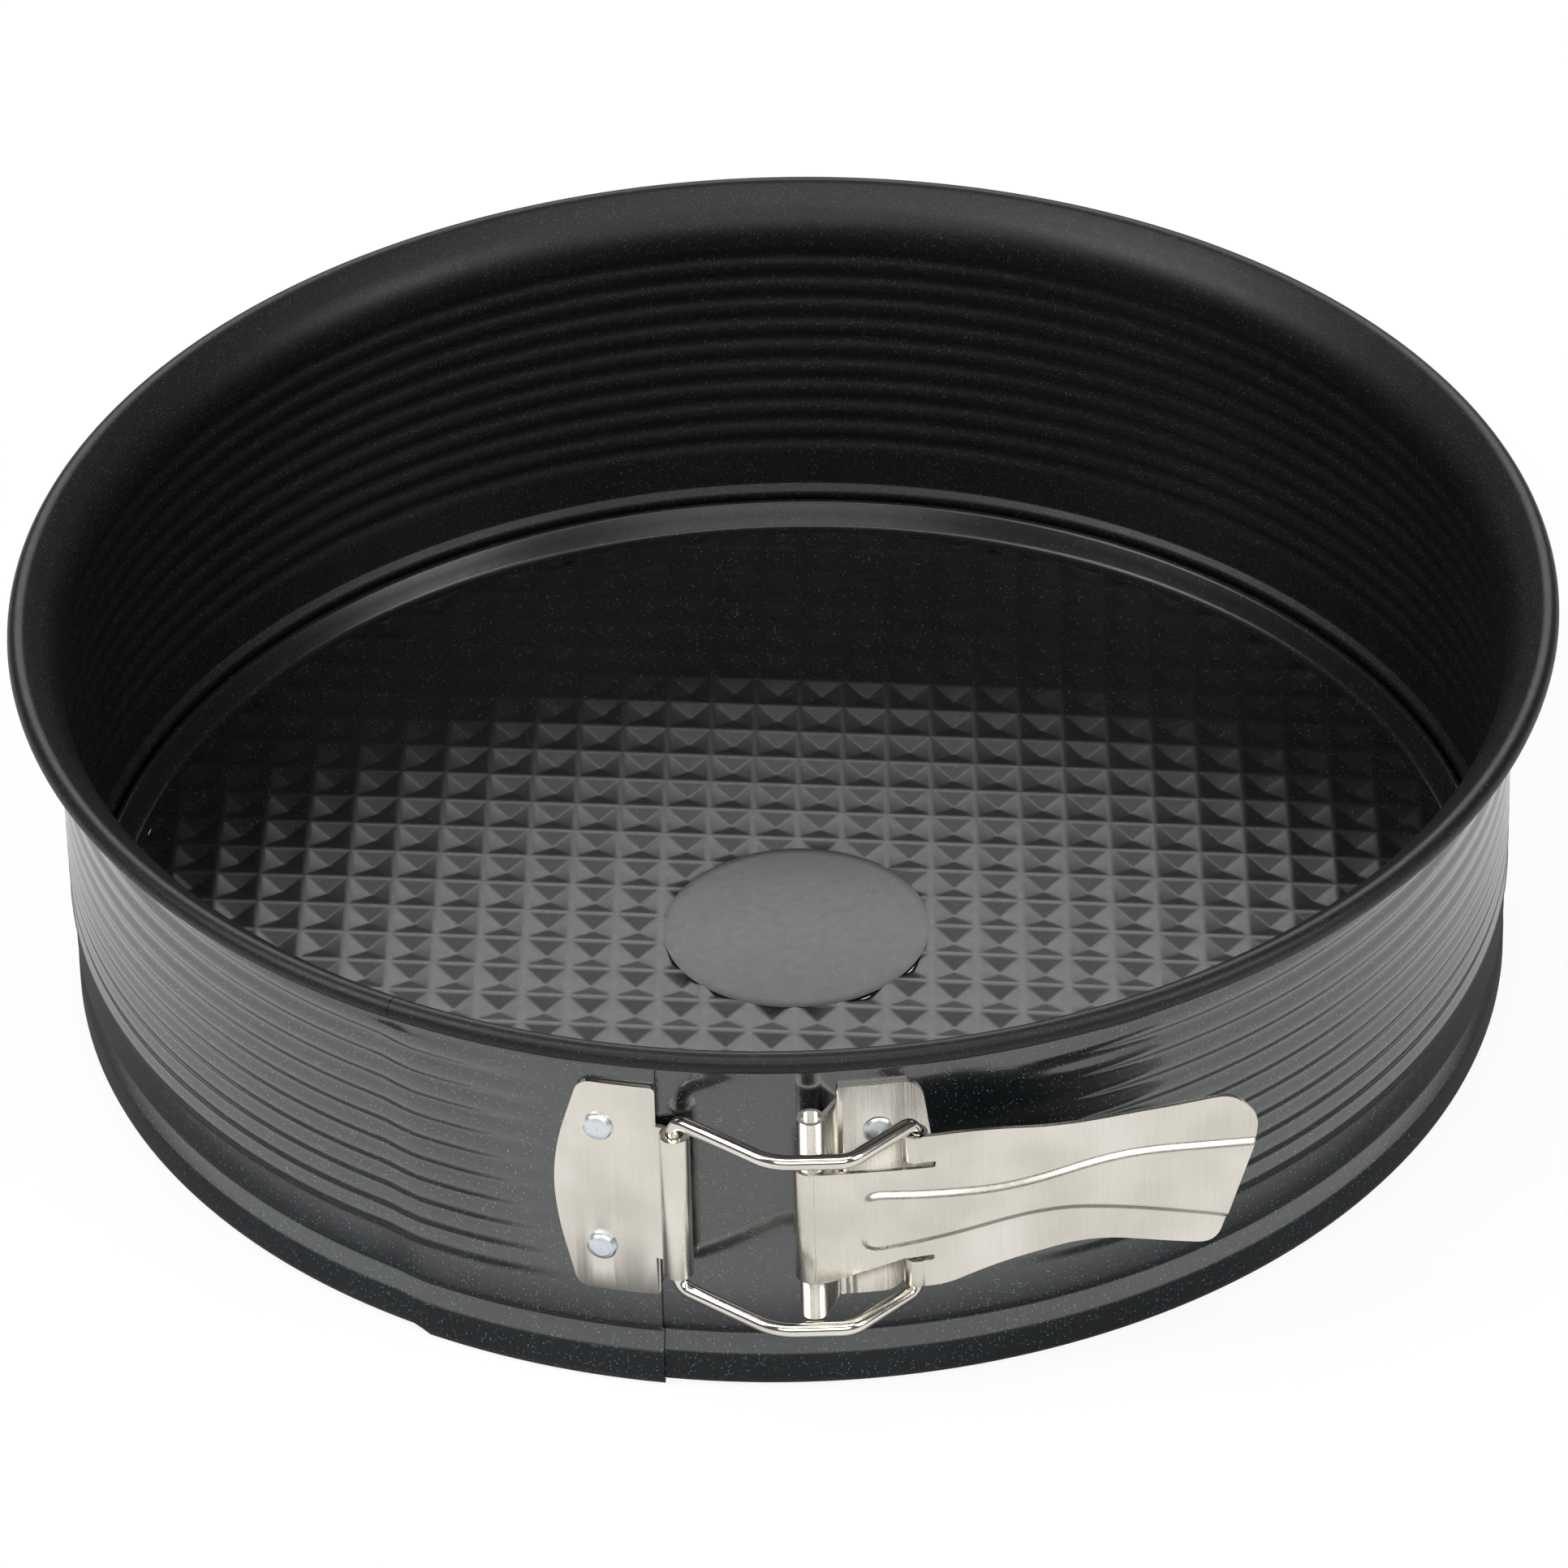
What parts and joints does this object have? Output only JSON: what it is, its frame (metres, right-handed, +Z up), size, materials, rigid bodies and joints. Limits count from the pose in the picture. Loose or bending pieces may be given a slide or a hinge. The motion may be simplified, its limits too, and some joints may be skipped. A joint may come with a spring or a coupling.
{
  "type": "springform cake pan",
  "caption": "Round springform cake pan of dark coated steel: a corrugated split side ring closed round a loose base plate by an over-centre lever latch.",
  "frame": {"origin": "on the pan's axis, in the plane of the flat underside of the ring's foot curl that the closed pan stands on", "axes": "+Z up along the pan's axis, -Y towards the latch at the front, +X to the right when facing the latch"},
  "size_m": [0.245, 0.2524, 0.069],
  "materials": {
    "coating": "charcoal non-stick coating with fine bright flakes, semi-gloss outside and semi-matte inside",
    "nickel_steel": "bright nickel-plated steel with a fine vertical grain",
    "rivet_aluminium": "plain bright rivet heads"
  },
  "bodies": {
    "ring_right": {"ring_right_band": "coating", "bracket_plate": "nickel_steel", "bracket_rivet_upper": "rivet_aluminium", "bracket_rivet_lower": "rivet_aluminium"},
    "ring_left": {"ring_left_band": "coating", "keeper_plate": "nickel_steel", "keeper_rivet_upper": "rivet_aluminium", "keeper_rivet_lower": "rivet_aluminium"},
    "base": {"base_plate": "coating"},
    "latch_lever": {"lever": "nickel_steel"},
    "bail": {"wire_bail": "nickel_steel"}
  },
  "joints": [
    {"name": "lever_swing", "type": "hinge", "parent": "ring_right", "child": "latch_lever", "pos_m": [0.0022, -0.11948, 0.0386], "axis": [0, 0, -1], "range_deg": [0, 120]},
    {"name": "ring_spread", "type": "hinge", "parent": "ring_right", "child": "ring_left", "pos_m": [0.02547, 0.11982, 0.0345], "axis": [0, 0, -1], "range_deg": [0, 4.3]},
    {"name": "bail_swing", "type": "hinge", "parent": "ring_left", "child": "bail", "pos_m": [-0.0183, -0.11738, 0.0386], "axis": [0, 0, -1], "range_deg": [0, 25.1]},
    {"name": "base_lift", "type": "slide", "parent": "ring_right", "child": "base", "axis": [0, 0, 1], "range_m": [0, 0.09]}
  ],
  "couplings": [
    {"joint": "ring_spread", "follows": "lever_swing", "ratio": 0.03573},
    {"joint": "bail_swing", "follows": "lever_swing", "ratio": 0.2086}
  ]
}
